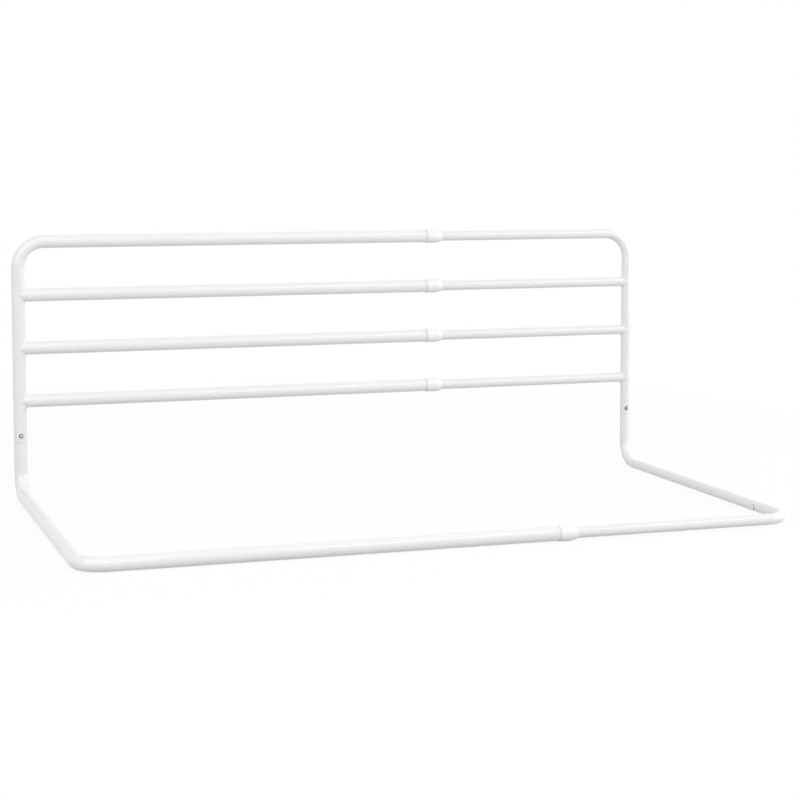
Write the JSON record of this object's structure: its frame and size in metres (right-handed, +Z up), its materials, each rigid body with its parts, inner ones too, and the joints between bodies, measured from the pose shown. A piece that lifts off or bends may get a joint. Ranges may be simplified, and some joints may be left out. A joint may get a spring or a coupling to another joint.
{
  "type": "bed guard rail",
  "caption": "Free-standing tubular bed guard rail: a barred guard on an L-shaped base that lies under the mattress; its width telescopes.",
  "frame": {"origin": "middle of the footprint, on the surface that the base lies on, with the rail drawn out to its full width", "axes": "+X along the bars from the thick-tubed half towards the thin-tubed half, -Y from the guard towards the bed, +Z up"},
  "size_m": [1.4, 0.7776, 0.5526],
  "materials": {
    "powder_coat": "smooth glossy white powder coat",
    "collar_plastic": "moulded white plastic, satin gloss",
    "glide_plastic": "natural moulded plastic",
    "zinc_steel": "zinc-plated steel, satin",
    "spring_steel": "oiled spring steel strip"
  },
  "bodies": {
    "left_half": {"left_guard_tube": "powder_coat", "left_rung_tube_1": "powder_coat", "left_rung_tube_2": "powder_coat", "left_rung_tube_3": "powder_coat", "left_leg_tube": "powder_coat", "left_front_tube": "powder_coat", "top_collar": "collar_plastic", "rung_1_collar": "collar_plastic", "rung_2_collar": "collar_plastic", "rung_3_collar": "collar_plastic", "front_collar": "collar_plastic", "left_post_spring": "spring_steel", "left_base_spring": "spring_steel"},
    "right_half": {"right_guard_tube": "powder_coat", "right_rung_tube_1": "powder_coat", "right_rung_tube_2": "powder_coat", "right_rung_tube_3": "powder_coat", "right_leg_tube": "powder_coat", "right_front_tube": "powder_coat", "top_glide": "glide_plastic", "rung_1_glide": "glide_plastic", "rung_2_glide": "glide_plastic", "rung_3_glide": "glide_plastic", "front_glide": "glide_plastic", "right_post_spring": "spring_steel", "right_base_spring": "spring_steel"},
    "left_post_button_body": {"left_post_button": "zinc_steel"},
    "left_base_button_body": {"left_base_button": "zinc_steel"},
    "right_post_button_body": {"right_post_button": "zinc_steel"},
    "right_base_button_body": {"right_base_button": "zinc_steel"}
  },
  "joints": [
    {"name": "width_slide", "type": "slide", "parent": "left_half", "child": "right_half", "axis": [1, 0, 0], "range_m": [-0.39, 0]},
    {"name": "left_post_press", "type": "slide", "parent": "left_half", "child": "left_post_button_body", "axis": [0, 1, 0], "range_m": [0, 0.0045], "stiffness_N_per_m": 1000, "springref_m": -0.002, "deforming": ["left_post_spring"]},
    {"name": "left_base_press", "type": "slide", "parent": "left_half", "child": "left_base_button_body", "axis": [-1, 0, 0], "range_m": [0, 0.0045], "stiffness_N_per_m": 1000, "springref_m": -0.002, "deforming": ["left_base_spring"]},
    {"name": "right_post_press", "type": "slide", "parent": "right_half", "child": "right_post_button_body", "axis": [0, 1, 0], "range_m": [0, 0.0045], "stiffness_N_per_m": 1000, "springref_m": -0.002, "deforming": ["right_post_spring"]},
    {"name": "right_base_press", "type": "slide", "parent": "right_half", "child": "right_base_button_body", "axis": [1, 0, 0], "range_m": [0, 0.0045], "stiffness_N_per_m": 1000, "springref_m": -0.002, "deforming": ["right_base_spring"]}
  ]
}
